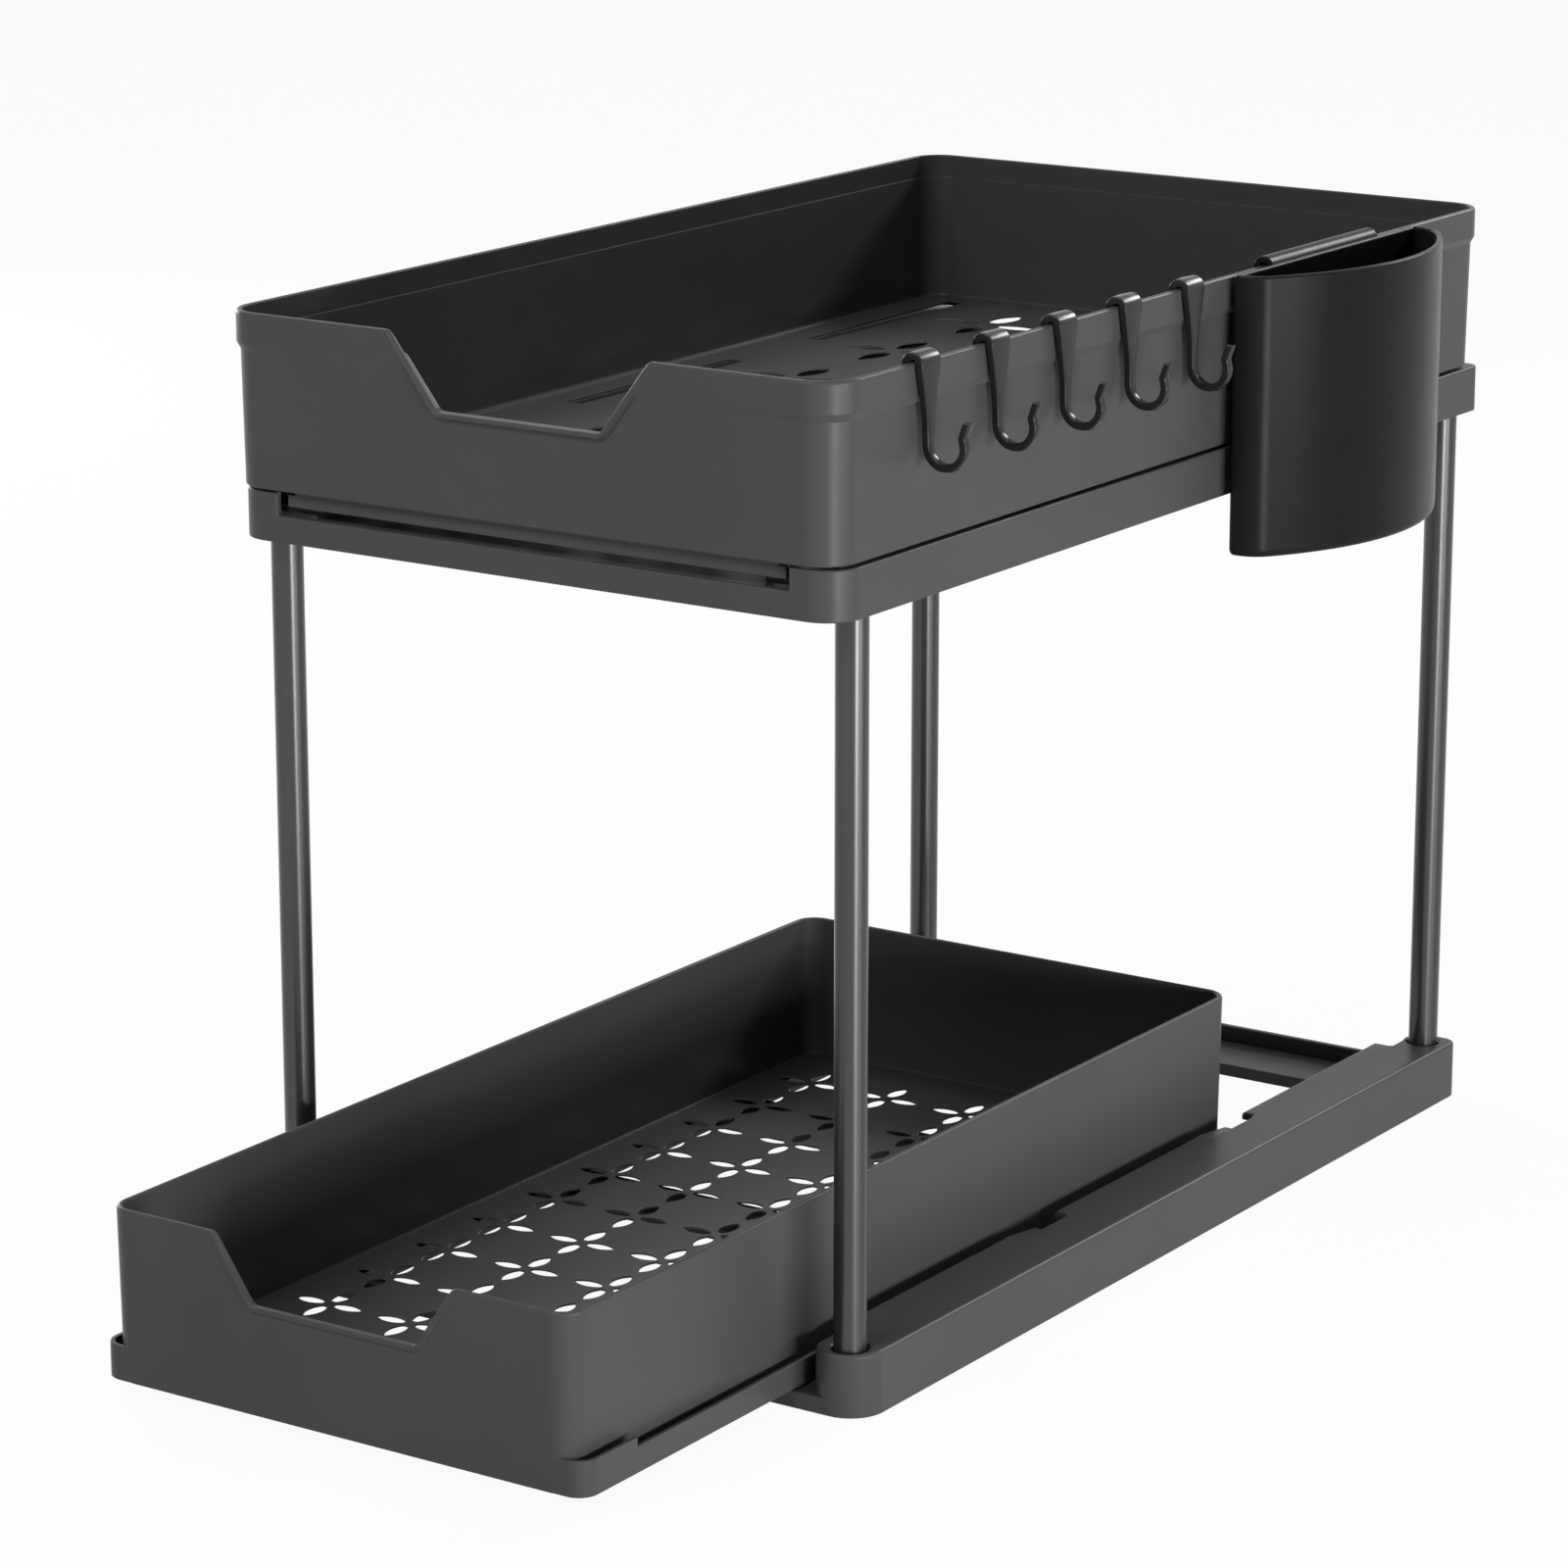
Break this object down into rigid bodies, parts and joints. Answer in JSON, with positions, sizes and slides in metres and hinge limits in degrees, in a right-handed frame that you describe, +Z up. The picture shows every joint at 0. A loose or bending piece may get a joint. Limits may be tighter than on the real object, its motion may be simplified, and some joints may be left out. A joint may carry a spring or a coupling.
{
  "type": "pull-out storage rack",
  "caption": "Two-tier free-standing rack: two open trays with scooped fronts slide forward on a base frame and an upper frame joined by corner posts, with rim hooks and a hanging cup.",
  "frame": {"origin": "middle of the underside of the base frame's front sill, on the surface the rack stands on", "axes": "+Z up, -Y toward the front, the way the trays pull out, +X toward the side with the hooks and the cup"},
  "size_m": [0.2705, 0.5214, 0.333],
  "materials": {
    "frame_plastic": "satin dark grey",
    "tray_plastic": "satin dark grey",
    "post_metal": "glossy dark coated steel tube",
    "plug_plastic": "plain dark",
    "hook_plastic": "semi-gloss dark grey",
    "cup_plastic": "satin dark grey"
  },
  "bodies": {
    "rack": {"base_frame": "frame_plastic", "upper_frame": "frame_plastic", "post_front_left": "post_metal", "post_front_right": "post_metal", "post_rear_left": "post_metal", "post_rear_right": "post_metal", "plug_low_front_left": "plug_plastic", "plug_low_front_right": "plug_plastic", "plug_low_rear_left": "plug_plastic", "plug_low_rear_right": "plug_plastic", "plug_top_front_left": "plug_plastic", "plug_top_front_right": "plug_plastic", "plug_top_rear_left": "plug_plastic", "plug_top_rear_right": "plug_plastic"},
    "lower_drawer": {"lower_tray": "tray_plastic"},
    "upper_drawer": {"upper_tray": "tray_plastic"},
    "hook_body_1": {"hook_1": "hook_plastic"},
    "hook_body_2": {"hook_2": "hook_plastic"},
    "hook_body_3": {"hook_3": "hook_plastic"},
    "hook_body_4": {"hook_4": "hook_plastic"},
    "hook_body_5": {"hook_5": "hook_plastic"},
    "cup_body": {"cup": "cup_plastic"}
  },
  "joints": [
    {"name": "lower_tray_slide", "type": "slide", "parent": "rack", "child": "lower_drawer", "axis": [0, -1, 0], "range_m": [-0.113, 0.0925]},
    {"name": "upper_tray_slide", "type": "slide", "parent": "rack", "child": "upper_drawer", "axis": [0, -1, 0], "range_m": [0, 0.2545]},
    {"name": "hook_1_lift", "type": "slide", "parent": "upper_drawer", "child": "hook_body_1", "axis": [0, 0, 1], "range_m": [0, 0.025]},
    {"name": "hook_2_lift", "type": "slide", "parent": "upper_drawer", "child": "hook_body_2", "axis": [0, 0, 1], "range_m": [0, 0.025]},
    {"name": "hook_3_lift", "type": "slide", "parent": "upper_drawer", "child": "hook_body_3", "axis": [0, 0, 1], "range_m": [0, 0.025]},
    {"name": "hook_4_lift", "type": "slide", "parent": "upper_drawer", "child": "hook_body_4", "axis": [0, 0, 1], "range_m": [0, 0.025]},
    {"name": "hook_5_lift", "type": "slide", "parent": "upper_drawer", "child": "hook_body_5", "axis": [0, 0, 1], "range_m": [0, 0.025]},
    {"name": "cup_lift", "type": "slide", "parent": "upper_drawer", "child": "cup_body", "axis": [0, 0, 1], "range_m": [0, 0.06]}
  ]
}
